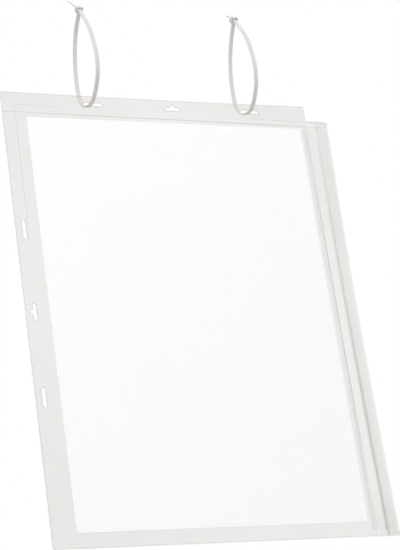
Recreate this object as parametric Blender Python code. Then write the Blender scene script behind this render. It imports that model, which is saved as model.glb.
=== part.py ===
"""Hanging document pocket: a clear welded pocket for one upright A4 sheet, hung on two cable ties.

Metres, +Z up, the front of the pocket faces -Y. The origin is the top of the thin rail that the two tie
loops hang on, halfway between the slots that they pass through.
"""
import math

import bmesh
import bpy
from mathutils import Vector

MM = 0.001

# clearance between neighbours that touch on the real pocket
GAP = 0.3 * MM

# how far a cutter runs past what it cuts, and a joined piece into its neighbour
OVERRUN = 1.0 * MM

# the sheet of paper
SHEET_WIDTH = 210 * MM
SHEET_HEIGHT = 297 * MM
SHEET_THICKNESS = 0.2 * MM

# the films: room beside the sheet, then the slope of the front film, then the flat margin
FILM_THICKNESS = 0.3 * MM
LEFT_ROOM = 6.6 * MM
TOP_ROOM = 1.5 * MM
BOTTOM_ROOM = 6.9 * MM
FILM_SLOPE = 1.5 * MM
LEFT_MARGIN = 9.9 * MM
TOP_MARGIN = 15.5 * MM
BOTTOM_MARGIN = 2.4 * MM
CORNER_RADIUS = 2.0 * MM
CORNER_STEPS = 5

# the two slots and the hook hole in each hanging margin, measured to the slots' middles; the round tip
# of the hook hole's bump starts at an angle in degrees
SLOT_LENGTH = 14.0 * MM
SLOT_HEIGHT = 3.0 * MM
SLOT_ARC_STEPS = 6
TOP_SLOT_PITCH = 60.5 * MM
TOP_SLOT_INSET = 7.2 * MM
TOP_SLOT_SHIFT = 6.0 * MM
SIDE_SLOT_PITCH = 60.0 * MM
SIDE_SLOT_INSET = 6.9 * MM
SIDE_SLOT_SHIFT = 2.9 * MM
HOOK_HOLE_LENGTH = 12.2 * MM
HOOK_HOLE_HEIGHT = 2.5 * MM
HOOK_HOLE_DROP = 0.6 * MM
HOOK_BUMP_HEIGHT = 2.2 * MM
HOOK_BUMP_WIDTH = 4.4 * MM
HOOK_BUMP_TIP_RADIUS = 0.8 * MM
HOOK_BUMP_TIP_START = 30

# the press-to-close zip along the open right side: a channel strip behind and a rib strip in front
TAPE_WIDTH = 17.6 * MM
TAPE_THICKNESS = 0.3 * MM
TAPE_START = 3.8 * MM
TAPE_LAP = 2.1 * MM
TAPE_END_LENGTH = 4.0 * MM
TAPE_CORNER_RADIUS = 2.5 * MM
MOUTH_ROOM = 2.0 * MM
PROFILE_INSET = 9.6 * MM
CHANNEL_WALL = 0.5 * MM
RIB_WIDTH = 0.8 * MM
RIB_TIP_CLEARANCE = 0.4 * MM
GRIP_BEAD_INSET = 2.4 * MM
GRIP_BEAD_WIDTH = 0.8 * MM
GRIP_BEAD_HEIGHT = 0.2 * MM

# the straps of the cable ties
STRAP_WIDTH = 2.5 * MM
STRAP_THICKNESS = 1.0 * MM
STRAP_BEVEL = 0.25 * MM
STRAP_STEP = 2.2 * MM
TAIL_TIP_LENGTH = 9.0 * MM
TAIL_TIP_WIDTH = 1.4 * MM
TAIL_TIP_THICKNESS = 0.8 * MM
TAIL_TAPER_LENGTH = 2.0 * MM
BEVEL_LIMIT_SHARE = 0.4

# the heads of the cable ties, in walls round the window that the strap passes through
HEAD_SIDE_WALL = 0.95 * MM
HEAD_ROOT_WALL = 1.7 * MM
HEAD_NOSE_WALL = 1.1 * MM
HEAD_DEPTH = 3.6 * MM
HEAD_BEVEL = 0.5 * MM
HEAD_SLANT = math.radians(50)
ROOT_EMBEDMENT = 1.0 * MM
PAWL_LENGTH = 1.6 * MM
PAWL_REACH = 0.35 * MM

# each tie: its place beside the slot's middle, the middle of its head's window from the seat in the
# slot, how far its loop stands out in front and behind, and the tail beyond the window
LEFT_TIE_SHIFT = -1.3 * MM
LEFT_HEAD_BACK = -1.2 * MM
LEFT_HEAD_HEIGHT = 75.2 * MM
LEFT_LOOP_FRONT = 22.2 * MM
LEFT_LOOP_BACK = 21.9 * MM
LEFT_TAIL_LENGTH = 26.0 * MM
LEFT_TAIL_DROOP = math.radians(6)
RIGHT_TIE_SHIFT = 0.2 * MM
RIGHT_HEAD_BACK = 1.4 * MM
RIGHT_HEAD_HEIGHT = 76.8 * MM
RIGHT_LOOP_FRONT = 20.1 * MM
RIGHT_LOOP_BACK = 22.0 * MM
RIGHT_TAIL_LENGTH = 15.0 * MM
RIGHT_TAIL_DROOP = math.radians(9)
TIES = (
    {"name": "cable_tie_left", "x": LEFT_TIE_SHIFT - TOP_SLOT_PITCH,
     "head_y": LEFT_HEAD_BACK, "head_z": LEFT_HEAD_HEIGHT, "front": LEFT_LOOP_FRONT,
     "back": LEFT_LOOP_BACK, "tail": LEFT_TAIL_LENGTH, "tail_droop": LEFT_TAIL_DROOP},
    {"name": "cable_tie_right", "x": RIGHT_TIE_SHIFT + TOP_SLOT_PITCH,
     "head_y": RIGHT_HEAD_BACK, "head_z": RIGHT_HEAD_HEIGHT, "front": RIGHT_LOOP_FRONT,
     "back": RIGHT_LOOP_BACK, "tail": RIGHT_TAIL_LENGTH, "tail_droop": RIGHT_TAIL_DROOP},
)

# the strap's route as shares of how far the loop stands out and of the height of the head's window
FRONT_SHARES = ((0.38, 0.035), (0.71, 0.115), (0.92, 0.21), (1.0, 0.36), (0.90, 0.53), (0.66, 0.72))
BACK_SHARES = ((0.44, 0.035), (0.78, 0.115), (0.96, 0.21), (1.0, 0.36), (0.94, 0.53), (0.77, 0.69),
               (0.48, 0.84))

# the height of the rail's top above the straps' seat in the slots
RAIL_HEIGHT = 70.0 * MM

# places from front to back, worked out from the sizes above; 0 is the middle of the welded margins
RIM_BACK = -GAP / 2
RIM_FRONT = RIM_BACK - FILM_THICKNESS
BACK_FILM_FRONT = GAP / 2
BACK_FILM_BACK = BACK_FILM_FRONT + FILM_THICKNESS
SHEET_BACK = BACK_FILM_FRONT - GAP
SHEET_FRONT = SHEET_BACK - SHEET_THICKNESS
PANEL_BACK = SHEET_FRONT - GAP
PANEL_FRONT = PANEL_BACK - FILM_THICKNESS
BACK_TAPE_FRONT = BACK_FILM_BACK + GAP
BACK_TAPE_BACK = BACK_TAPE_FRONT + TAPE_THICKNESS

# places from top to bottom
SEAT_Z = -RAIL_HEIGHT
TOP_SLOT_Z = SEAT_Z + STRAP_THICKNESS / 2 + GAP - SLOT_HEIGHT / 2
FILM_TOP_Z = TOP_SLOT_Z + TOP_SLOT_INSET
TOP_WELD_Z = FILM_TOP_Z - TOP_MARGIN
SHEET_TOP_Z = TOP_WELD_Z - FILM_SLOPE - TOP_ROOM
SHEET_BOTTOM_Z = SHEET_TOP_Z - SHEET_HEIGHT
SHEET_MIDDLE_Z = (SHEET_TOP_Z + SHEET_BOTTOM_Z) / 2
BOTTOM_WELD_Z = SHEET_BOTTOM_Z - BOTTOM_ROOM - FILM_SLOPE
FILM_BOTTOM_Z = BOTTOM_WELD_Z - BOTTOM_MARGIN
MOUTH_TOP_Z = SHEET_TOP_Z + MOUTH_ROOM
MOUTH_BOTTOM_Z = FILM_BOTTOM_Z + TAPE_END_LENGTH
TAPE_TOP_Z = MOUTH_TOP_Z + TAPE_END_LENGTH

# places from left to right
SHEET_LEFT_X = -TOP_SLOT_SHIFT - SHEET_WIDTH / 2
SHEET_RIGHT_X = SHEET_LEFT_X + SHEET_WIDTH
LEFT_WELD_X = SHEET_LEFT_X - LEFT_ROOM - FILM_SLOPE
FILM_LEFT_X = LEFT_WELD_X - LEFT_MARGIN
HINGE_X = SHEET_RIGHT_X + TAPE_START
NOTCH_X = HINGE_X - GAP / 2
FILM_RIGHT_X = HINGE_X + TAPE_LAP
PROFILE_X = HINGE_X + PROFILE_INSET
TAPE_RIGHT_X = HINGE_X + TAPE_WIDTH

# the joints: the pocket swings on its straps, the lip of the zip turns about its inner edge
POCKET_PIVOT = Vector((0, 0, SEAT_Z))
LIP_PIVOT = Vector((HINGE_X, PANEL_FRONT, SHEET_MIDDLE_Z))
SHEET_PIVOT = Vector((SHEET_RIGHT_X, SHEET_BACK, SHEET_MIDDLE_Z))


def material(name, colour, roughness, alpha=1.0):
    """A plain Principled material."""
    made = bpy.data.materials.new(name)
    made.use_nodes = True
    shader = made.node_tree.nodes["Principled BSDF"]
    shader.inputs["Base Color"].default_value = (*colour, 1.0)
    shader.inputs["Roughness"].default_value = roughness
    shader.inputs["Alpha"].default_value = alpha
    made.diffuse_color = (*colour, alpha)
    return made


def new_object(name, bm, made=None, origin=None):
    """Turn a bmesh in world places into a named object whose origin lies on its joint."""
    origin = origin or Vector()
    bmesh.ops.recalc_face_normals(bm, faces=bm.faces)
    bmesh.ops.translate(bm, verts=bm.verts, vec=-origin)
    mesh = bpy.data.meshes.new(name)
    bm.to_mesh(mesh)
    bm.free()
    item = bpy.data.objects.new(name, mesh)
    item.location = origin
    bpy.context.scene.collection.objects.link(item)
    if made:
        mesh.materials.append(made)
    return item


def add_prism(bm, points, direction):
    """Add a closed prism to a bmesh: an outline of points pushed along a vector."""
    face = bm.faces.new([bm.verts.new(point) for point in points])
    pushed = bmesh.ops.extrude_face_region(bm, geom=[face])
    moved = [item for item in pushed["geom"] if isinstance(item, bmesh.types.BMVert)]
    bmesh.ops.translate(bm, verts=moved, vec=direction)


def prism(points, direction):
    """A bmesh with one closed prism."""
    bm = bmesh.new()
    add_prism(bm, points, direction)
    return bm


def slabs(pieces):
    """A bmesh of slabs that lie apart, each an outline in X and Z with its front and its back."""
    bm = bmesh.new()
    for outline, front, back in pieces:
        add_prism(bm, [(x, front, z) for x, z in outline], (0, back - front, 0))
    return bm


def boolean(item, cutter, operation):
    """Keep a live Boolean on item and hide the piece that it uses."""
    cutter.hide_render = True
    cutter.display_type = "WIRE"
    modifier = item.modifiers.new(operation.title(), "BOOLEAN")
    modifier.operation = operation
    modifier.solver = "EXACT"
    modifier.object = cutter


def arc(centre, radius, start, end, steps):
    """Points of an arc in X and Z, its angles in degrees."""
    points = []
    for step in range(steps + 1):
        angle = math.radians(start + (end - start) * step / steps)
        points.append((centre[0] + radius * math.cos(angle), centre[1] + radius * math.sin(angle)))
    return points


def rectangle(left, low, right, high):
    """The four corners of an upright rectangle."""
    return [(left, low), (right, low), (right, high), (left, high)]


def film_outline(notched):
    """The outline of a film; the front film is notched where the lip of the zip opens."""
    radius = CORNER_RADIUS
    points = arc((FILM_LEFT_X + radius, FILM_BOTTOM_Z + radius), radius, 180, 270, CORNER_STEPS)
    points.append((FILM_RIGHT_X, FILM_BOTTOM_Z))
    if notched:
        points += [(FILM_RIGHT_X, MOUTH_BOTTOM_Z), (NOTCH_X, MOUTH_BOTTOM_Z)]
        points += [(NOTCH_X, MOUTH_TOP_Z), (FILM_RIGHT_X, MOUTH_TOP_Z)]
    points += arc((FILM_RIGHT_X - radius, FILM_TOP_Z - radius), radius, 0, 90, CORNER_STEPS)
    points += arc((FILM_LEFT_X + radius, FILM_TOP_Z - radius), radius, 90, 180, CORNER_STEPS)
    return points


def slot_outline():
    """A round-ended slot about its own middle, with its outer side up."""
    radius = SLOT_HEIGHT / 2
    reach = SLOT_LENGTH / 2 - radius
    right_end = arc((reach, 0), radius, -90, 90, SLOT_ARC_STEPS)
    return right_end + arc((-reach, 0), radius, 90, 270, SLOT_ARC_STEPS)


def hook_hole_outline():
    """A round-ended hole a little below the slots' line, with a rounded bump in its upper side."""
    radius = HOOK_HOLE_HEIGHT / 2
    reach = HOOK_HOLE_LENGTH / 2 - radius
    middle = -HOOK_HOLE_DROP
    tip = middle + radius + HOOK_BUMP_HEIGHT - HOOK_BUMP_TIP_RADIUS
    points = arc((reach, middle), radius, -90, 90, SLOT_ARC_STEPS)
    points.append((HOOK_BUMP_WIDTH / 2, middle + radius))
    tip_end = 180 - HOOK_BUMP_TIP_START
    points += arc((0, tip), HOOK_BUMP_TIP_RADIUS, HOOK_BUMP_TIP_START, tip_end, SLOT_ARC_STEPS)
    points.append((-HOOK_BUMP_WIDTH / 2, middle + radius))
    points += arc((-reach, middle), radius, 90, 270, SLOT_ARC_STEPS)
    return points


def margin_holes():
    """Every hole of the films: slot, hook hole and slot in the top margin and in the left one."""
    side_x = FILM_LEFT_X + SIDE_SLOT_INSET
    side_z = SHEET_MIDDLE_Z + SIDE_SLOT_SHIFT
    holes = []
    for place in (-1, 0, 1):
        shape = slot_outline() if place else hook_hole_outline()
        top_x = place * TOP_SLOT_PITCH
        along_z = side_z + place * SIDE_SLOT_PITCH
        holes.append([(top_x + along, TOP_SLOT_Z + out) for along, out in shape])
        holes.append([(side_x - out, along_z + along) for along, out in shape])
    return slabs([(hole, PANEL_FRONT - OVERRUN, BACK_FILM_BACK + OVERRUN) for hole in holes])


def build_back_film(made, holes):
    """The flat back sheet, die-cut with the slots."""
    outline = slabs([(film_outline(False), BACK_FILM_FRONT, BACK_FILM_BACK)])
    boolean(new_object("back_film", outline, made, POCKET_PIVOT), holes, "DIFFERENCE")


def stepped_film(xs, zs):
    """A closed film on a grid of lines: flat at its rim, standing forward inside the weld lines."""
    bm = bmesh.new()
    layers = []
    for layer in (0, 1):
        grid = []
        for x in xs:
            column = []
            for z in zs:
                raised = x > LEFT_WELD_X and BOTTOM_WELD_Z < z < TOP_WELD_Z
                front = PANEL_FRONT if raised else RIM_FRONT
                column.append(bm.verts.new((x, front + layer * FILM_THICKNESS, z)))
            grid.append(column)
        layers.append(grid)
    front, back = layers
    last_x, last_z = len(xs) - 1, len(zs) - 1
    for i in range(last_x):
        for k in range(last_z):
            for grid in layers:
                bm.faces.new((grid[i][k], grid[i + 1][k], grid[i + 1][k + 1], grid[i][k + 1]))
    for i in range(last_x):
        for k in (0, last_z):
            bm.faces.new((front[i][k], front[i + 1][k], back[i + 1][k], back[i][k]))
    for k in range(last_z):
        for i in (0, last_x):
            bm.faces.new((front[i][k], front[i][k + 1], back[i][k + 1], back[i][k]))
    bmesh.ops.triangulate(bm, faces=bm.faces)
    return bm


def build_front_film(made, holes):
    """The front sheet: flat at the welds, standing forward over the paper and out to the mouth."""
    xs = (FILM_LEFT_X - OVERRUN, LEFT_WELD_X, LEFT_WELD_X + FILM_SLOPE, FILM_RIGHT_X + OVERRUN)
    zs = (FILM_BOTTOM_Z - OVERRUN, BOTTOM_WELD_Z, BOTTOM_WELD_Z + FILM_SLOPE,
          TOP_WELD_Z - FILM_SLOPE, TOP_WELD_Z, FILM_TOP_Z + OVERRUN)
    item = new_object("front_film", stepped_film(xs, zs), made, POCKET_PIVOT)
    die = slabs([(film_outline(True), PANEL_FRONT - OVERRUN, RIM_BACK + OVERRUN)])
    boolean(item, new_object("front_film_die", die), "INTERSECT")
    boolean(item, holes, "DIFFERENCE")


def tape_outline(left, low, high):
    """A length of the zip's strip up to its rounded top corner, in X and Z."""
    radius = TAPE_CORNER_RADIUS
    corner = arc((TAPE_RIGHT_X - radius, high - radius), radius, 0, 90, CORNER_STEPS)
    return [(left, low), (TAPE_RIGHT_X, low), *corner, (left, high)]


def build_zip_tape_back(made):
    """The back strip with the channel, and the two melted ends where both strips are one."""
    strip = tape_outline(HINGE_X, FILM_BOTTOM_Z, TAPE_TOP_Z)
    item = new_object("zip_tape_back", slabs([(strip, BACK_TAPE_FRONT, BACK_TAPE_BACK)]), made, POCKET_PIVOT)
    end_left = FILM_RIGHT_X + GAP
    bottom_end = rectangle(end_left, FILM_BOTTOM_Z, TAPE_RIGHT_X, MOUTH_BOTTOM_Z)
    top_end = tape_outline(end_left, MOUTH_TOP_Z, TAPE_TOP_Z)
    ends = slabs([(end, PANEL_FRONT, BACK_TAPE_BACK) for end in (bottom_end, top_end)])
    boolean(item, new_object("zip_melted_ends", ends), "UNION")
    near = RIB_WIDTH / 2 + GAP
    far = near + CHANNEL_WALL
    low, high = MOUTH_BOTTOM_Z - OVERRUN, MOUTH_TOP_Z + OVERRUN
    middle = (BACK_TAPE_FRONT + BACK_TAPE_BACK) / 2
    walls = []
    for left, right in ((-far, -near), (near, far)):
        walls.append((rectangle(PROFILE_X + left, low, PROFILE_X + right, high), BACK_FILM_FRONT, middle))
    boolean(item, new_object("zip_channel_walls", slabs(walls)), "UNION")


def build_zip_tape_front(made):
    """The front strip: the lip that opens, with the rib that presses into the channel."""
    front, back = PANEL_FRONT, PANEL_FRONT + TAPE_THICKNESS
    left = HINGE_X + GAP / 2
    tip = BACK_TAPE_FRONT - RIB_TIP_CLEARANCE
    half_rib = RIB_WIDTH / 2
    half_bead = GRIP_BEAD_WIDTH / 2
    bead_x = TAPE_RIGHT_X - GRIP_BEAD_INSET
    section = [
        (left, front), (bead_x - half_bead, front), (bead_x, front - GRIP_BEAD_HEIGHT),
        (bead_x + half_bead, front), (TAPE_RIGHT_X, front), (TAPE_RIGHT_X, back),
        (PROFILE_X + half_rib, back), (PROFILE_X + half_rib, tip - half_rib / 2),
        (PROFILE_X + half_rib / 2, tip), (PROFILE_X - half_rib / 2, tip),
        (PROFILE_X - half_rib, tip - half_rib / 2), (PROFILE_X - half_rib, back), (left, back),
    ]
    low, high = MOUTH_BOTTOM_Z + GAP, MOUTH_TOP_Z - GAP
    strip = prism([(x, y, low) for x, y in section], (0, 0, high - low))
    new_object("zip_tape_front", strip, made, LIP_PIVOT)


def build_sheet(made):
    """The sheet of paper, which slides out to the right once the lip is open."""
    outline = rectangle(SHEET_LEFT_X, SHEET_BOTTOM_Z, SHEET_RIGHT_X, SHEET_TOP_Z)
    new_object("insert_sheet", slabs([(outline, SHEET_FRONT, SHEET_BACK)]), made, SHEET_PIVOT)


def smooth_route(points, step):
    """A smooth curve through hand-set points, about one step apart; the end points only steer it."""
    route = []
    for before, start, end, after in zip(points, points[1:], points[2:], points[3:]):
        count = max(2, round((end - start).length / step))
        for k in range(count):
            t = k / count
            bend = 2 * before - 5 * start + 4 * end - after
            twist = 3 * start - before - 3 * end + after
            route.append(start + ((end - before) * t + bend * t ** 2 + twist * t ** 3) / 2)
    route.append(points[-2])
    return route


def head_axes(tie):
    """The middle of the head's window, the way the tail leaves it and the way the root strap enters."""
    outwards = Vector((math.cos(HEAD_SLANT), math.sin(HEAD_SLANT)))
    return Vector((tie["head_y"], tie["head_z"])), outwards, Vector((-outwards.y, outwards.x))


def head_spans():
    """How far the head reaches behind and ahead of its window's middle, along the root strap."""
    clear = STRAP_THICKNESS / 2 + GAP
    return clear + HEAD_ROOT_WALL, clear + PAWL_REACH + HEAD_NOSE_WALL


def tie_route(tie):
    """The strap's middle line: root, down behind, through the slot, up in front, window and tail."""
    window, outwards, inwards = head_axes(tie)
    root_span, _ = head_spans()
    root_face = window - inwards * root_span - outwards * (HEAD_DEPTH - STRAP_THICKNESS) / 2
    points = [root_face + inwards * ROOT_EMBEDMENT * step for step in (2, 1, -1)]
    points += [Vector((y * tie["back"], z * tie["head_z"])) for y, z in reversed(BACK_SHARES)]
    points.append(Vector((0, 0)))
    points += [Vector((-y * tie["front"], z * tie["head_z"])) for y, z in FRONT_SHARES]
    reach = HEAD_DEPTH / 2 + OVERRUN
    points += [window - outwards * reach, window + outwards * reach]
    heading = HEAD_SLANT
    for _ in range(3):
        heading -= tie["tail_droop"]
        step = Vector((math.cos(heading), math.sin(heading))) * (tie["tail"] - reach) / 2
        points.append(points[-1] + step)
    return smooth_route(points, STRAP_STEP)


def strap_section(distance_to_tip):
    """The strap's bevelled section this far from its tip, which is narrower and thinner."""
    share = min(1, max(0, (distance_to_tip - TAIL_TIP_LENGTH) / TAIL_TAPER_LENGTH))
    width = TAIL_TIP_WIDTH + (STRAP_WIDTH - TAIL_TIP_WIDTH) * share
    thickness = TAIL_TIP_THICKNESS + (STRAP_THICKNESS - TAIL_TIP_THICKNESS) * share
    bevel = min(STRAP_BEVEL, thickness * BEVEL_LIMIT_SHARE, width * BEVEL_LIMIT_SHARE)
    section = []
    for side, up in ((1, 1), (1, -1), (-1, -1), (-1, 1)):
        near_side = (side * width / 2, up * (thickness / 2 - bevel))
        near_face = (side * (width / 2 - bevel), up * thickness / 2)
        section += [near_face, near_side] if side == up else [near_side, near_face]
    return section


def strap_mesh(route, place_x):
    """Sweep the strap's section along its route, in the upright plane of the loop."""
    to_tip = [0]
    for near, far in zip(reversed(route), list(reversed(route))[1:]):
        to_tip.append(to_tip[-1] + (far - near).length)
    bm = bmesh.new()
    rings = []
    for i, (point, distance) in enumerate(zip(route, reversed(to_tip))):
        ahead = (route[min(i + 1, len(route) - 1)] - route[max(i - 1, 0)]).normalized()
        across = Vector((-ahead.y, ahead.x))
        ring = []
        for side, up in strap_section(distance):
            flat = point + across * up
            ring.append(bm.verts.new((place_x + side, flat.x, SEAT_Z + flat.y)))
        rings.append(ring)
    for near, far in zip(rings, rings[1:]):
        for k in range(len(near)):
            bm.faces.new((near[k - 1], near[k], far[k], far[k - 1]))
    bm.faces.new(rings[0])
    bm.faces.new(reversed(rings[-1]))
    return bm


def head_block(tie, half_width, along, across):
    """A block in the head's own directions: a span along the root strap and one along the window."""
    window, outwards, inwards = head_axes(tie)
    points = []
    for a, b in rectangle(along[0], across[0], along[1], across[1]):
        flat = window + inwards * a + outwards * b
        points.append((tie["x"] - half_width, flat.x, SEAT_Z + flat.y))
    return prism(points, (2 * half_width, 0, 0))


def build_tie(tie, made):
    """One cable tie: strap, head and pawl are one moulding, and the tail passes the head's window."""
    strap = new_object(tie["name"], strap_mesh(tie_route(tie), tie["x"]), made)
    root_span, nose_span = head_spans()
    half_depth = HEAD_DEPTH / 2
    clear = STRAP_THICKNESS / 2 + GAP
    half_window = STRAP_WIDTH / 2 + GAP
    block = head_block(tie, half_window + HEAD_SIDE_WALL, (-root_span, nose_span), (-half_depth, half_depth))
    bmesh.ops.recalc_face_normals(block, faces=block.faces)
    bmesh.ops.bevel(block, geom=block.edges[:], offset=HEAD_BEVEL, segments=1, affect="EDGES")
    window = head_block(tie, half_window, (-clear, clear + PAWL_REACH),
                        (-half_depth - OVERRUN, half_depth + OVERRUN))
    pawl = head_block(tie, half_window - GAP, (clear, nose_span - HEAD_NOSE_WALL / 2),
                      (-PAWL_LENGTH / 2, PAWL_LENGTH / 2))
    head = new_object(tie["name"] + "_head", block)
    boolean(head, new_object(tie["name"] + "_window", window), "DIFFERENCE")
    boolean(head, new_object(tie["name"] + "_pawl", pawl), "UNION")
    boolean(strap, head, "UNION")


def main():
    for item in list(bpy.data.objects):
        bpy.data.objects.remove(item, do_unlink=True)
    film = material("clear_film", (0.86, 0.86, 0.84), 0.15, 0.35)
    tape = material("clear_zip_strip", (0.80, 0.80, 0.78), 0.2, 0.5)
    paper = material("white_paper", (0.95, 0.94, 0.94), 0.9)
    nylon = material("natural_nylon", (0.70, 0.69, 0.68), 0.4)
    holes = new_object("margin_holes", margin_holes())
    build_back_film(film, holes)
    build_front_film(film, holes)
    build_zip_tape_back(tape)
    build_zip_tape_front(tape)
    build_sheet(paper)
    for tie in TIES:
        build_tie(tie, nylon)


main()
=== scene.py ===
"""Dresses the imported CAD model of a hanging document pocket: a clear welded pocket for one sheet of paper,
with a press-to-close zip down its right side, hung on two cable ties. Metres, +Z up, the front faces -Y."""
import math
from contextlib import contextmanager

import bmesh
import bpy
from bpy.props import FloatProperty, FloatVectorProperty, IntProperty, PointerProperty
from mathutils import Matrix, Vector


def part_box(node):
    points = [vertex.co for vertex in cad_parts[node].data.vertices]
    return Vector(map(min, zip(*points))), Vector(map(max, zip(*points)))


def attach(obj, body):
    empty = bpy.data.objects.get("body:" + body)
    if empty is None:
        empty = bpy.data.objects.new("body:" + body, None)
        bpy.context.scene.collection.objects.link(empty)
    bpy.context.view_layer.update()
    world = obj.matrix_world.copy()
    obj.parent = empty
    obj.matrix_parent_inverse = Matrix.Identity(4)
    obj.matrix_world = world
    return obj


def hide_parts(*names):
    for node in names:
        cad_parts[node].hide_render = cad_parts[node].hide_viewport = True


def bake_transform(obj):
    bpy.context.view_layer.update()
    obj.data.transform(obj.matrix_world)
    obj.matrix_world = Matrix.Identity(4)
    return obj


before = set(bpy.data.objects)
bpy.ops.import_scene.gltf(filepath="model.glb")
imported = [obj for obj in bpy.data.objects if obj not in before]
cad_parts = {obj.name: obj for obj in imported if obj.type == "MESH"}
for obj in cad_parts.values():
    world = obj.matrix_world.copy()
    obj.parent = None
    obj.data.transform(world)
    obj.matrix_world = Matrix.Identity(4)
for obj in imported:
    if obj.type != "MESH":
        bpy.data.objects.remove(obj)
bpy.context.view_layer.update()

bl_info = {
    "name": "Hanging document pocket",
    "version": (1, 0, 0),
    "blender": (4, 5, 0),
    "location": "3D View > Sidebar > Document Pocket",
    "description": "Builds a clear hanging document pocket on two cable ties, with its stage",
    "category": "Add Mesh",
}

MM = 0.001


def linear(code):
    """Turn an sRGB hex colour into linear red, green and blue."""
    shares = [int(code[i:i + 2], 16) / 255 for i in (1, 3, 5)]
    return tuple(s / 12.92 if s <= 0.04045 else ((s + 0.055) / 1.055) ** 2.4 for s in shares)


# ---------------------------------------------------------------- places in the CAD model

BACK_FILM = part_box("back_film")
FRONT_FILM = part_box("front_film")
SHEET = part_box("insert_sheet")
BACK_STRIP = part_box("zip_tape_back")
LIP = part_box("zip_tape_front")

FILM_LEFT, FILM_RIGHT = BACK_FILM[0].x, BACK_FILM[1].x
FILM_BOTTOM, FILM_TOP = BACK_FILM[0].z, BACK_FILM[1].z
FILM_DEPTH = BACK_FILM[1].y - BACK_FILM[0].y
PANEL_FRONT = FRONT_FILM[0].y
RIM_FRONT = FRONT_FILM[1].y - FILM_DEPTH
HINGE_X = BACK_STRIP[0].x
STRIP_RIGHT = BACK_STRIP[1].x
STRIP_TOP = BACK_STRIP[1].z
STRIP_FRONT, STRIP_BACK = BACK_STRIP[1].y - 0.3 * MM, BACK_STRIP[1].y
CLEARANCE = 0.3 * MM
MOUTH_TOP = LIP[1].z + CLEARANCE
MOUTH_BOTTOM = LIP[0].z - CLEARANCE
PROFILE_X = HINGE_X + 9.6 * MM
GRIP_X = PROFILE_X + 1.75 * MM    # where the thicker outer half of the strips begins
LEFT_WELD = FILM_LEFT + 9.9 * MM
TOP_WELD = FILM_TOP - 15.5 * MM
BOTTOM_WELD = FILM_BOTTOM + 2.4 * MM
SIDE_SLOPE, TOP_SLOPE = 5 * MM, 2.4 * MM
SEAT_Z = -70 * MM
SLOT_Z = -70.7 * MM
SLOT_PITCH = 60.5 * MM
CAD_SLOT_HEIGHT = 3 * MM
SIDE_SLOT_X = FILM_LEFT + 6.9 * MM
SIDE_SLOT_Z = -227.6 * MM
SIDE_SLOT_PITCH = 60 * MM
RIM_WIDTH, RIM_DEPTH = 0.35 * MM, 0.05 * MM
WELD_FALL, UPPER_WELD_FALL = 0.0068, 0.0150    # how steeply the two top heat seals fall to the right
BOW_START = 96 * MM                            # where the films begin to be drawn in with the zip


# ---------------------------------------------------------------- sizes and colours that a user would change

def colour_setting(name, description, code):
    """A colour that a user can change, with its sRGB default."""
    return FloatVectorProperty(name=name, description=description, subtype="COLOR", size=3, min=0, max=1,
                               default=linear(code))


def length_setting(name, description, default, low, high):
    """A length in metres that a user can change."""
    return FloatProperty(name=name, description=description, default=default, min=low, max=high, unit="LENGTH")


class FilmSettings(bpy.types.PropertyGroup):
    """The two clear films."""

    corner_radius: length_setting("Corner radius", "Rounding of the films' corners", 0.0014, 0.0005, 0.0024)
    slot_length: length_setting("Slot length", "Length of a hanging slot", 0.014, 0.008, 0.02)
    slot_height: length_setting("Slot height", "Height of a hanging slot", 0.0027, 0.002, 0.003)
    ripple: length_setting("Ripple", "How far the soft film waves out of its plane", 0.00012, 0, 0.0003)
    back_tint: colour_setting("Back film", "What the back film lets through at each face", "#F9F9F8")
    haze_colour: colour_setting("Haze", "Colour of the film's faint milkiness", "#DCD7D6")


class ZipSettings(bpy.types.PropertyGroup):
    """The press-to-close zip."""

    bow: length_setting("Bow", "How far the middle of the zip is drawn in by the film", 0.0013, 0, 0.004)
    spread: length_setting("Spread", "How far the soft strip's outer edge is spread at its two ends", 0.0012, 0, 0.002)
    # the rib's grey, also used for painted shade in the back film's corners and for the painted reflection on the zip
    profile_and_shade_colour: colour_setting("Profile", "Colour of the rib and channel", "#8E8B86")


class PaperSettings(bpy.types.PropertyGroup):
    """The sheet of paper."""

    colour: colour_setting("Paper", "Colour of the paper", "#FCFCFC")


class TieSettings(bpy.types.PropertyGroup):
    """The two cable ties."""

    width: length_setting("Strap width", "Width of the strap", 0.0029, 0.002, 0.003)
    thickness: length_setting("Strap thickness", "Thickness of the strap", 0.001, 0.0007, 0.0014)
    teeth: IntProperty(name="Teeth", description="Number of teeth along the strap", default=150, min=20, max=200)
    colour: colour_setting("Nylon", "Colour of the natural nylon", "#D9D5D4")


class StageSettings(bpy.types.PropertyGroup):
    """The floor and the studio light."""

    floor_colour: colour_setting("Floor", "Colour of the floor", "#F2F2F0")
    ambient: FloatProperty(name="Ambient", description="Strength of the light from all round",
                           default=0.44, min=0, max=1)
    key_power: FloatProperty(name="Key lamp", description="Power of the lamp at the front",
                             default=102, min=0, max=300, subtype="POWER")


class PocketSettings(bpy.types.PropertyGroup):
    """All settings of the document pocket."""

    film: PointerProperty(type=FilmSettings)
    zip: PointerProperty(type=ZipSettings)
    paper: PointerProperty(type=PaperSettings)
    tie: PointerProperty(type=TieSettings)
    stage: PointerProperty(type=StageSettings)


# ---------------------------------------------------------------- modelling as by hand

def deselect():
    """Deselect every object, because an operator acts on all that is selected."""
    for item in bpy.context.selected_objects:
        item.select_set(False)


def activate(item):
    """Make item the one selected and active object."""
    deselect()
    item.select_set(True)
    bpy.context.view_layer.objects.active = item


def name_piece(name):
    """Name the new active object and put its place into its mesh."""
    item = bpy.context.object
    item.name = item.data.name = name
    bpy.ops.object.transform_apply(location=True, rotation=True, scale=True)
    return item


def add_block(name, low, high):
    """Add a cube that fills the space from low to high."""
    deselect()
    low, high = Vector(low), Vector(high)
    bpy.ops.mesh.primitive_cube_add(size=1, location=(low + high) / 2)
    bpy.context.object.scale = high - low
    return name_piece(name)


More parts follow.
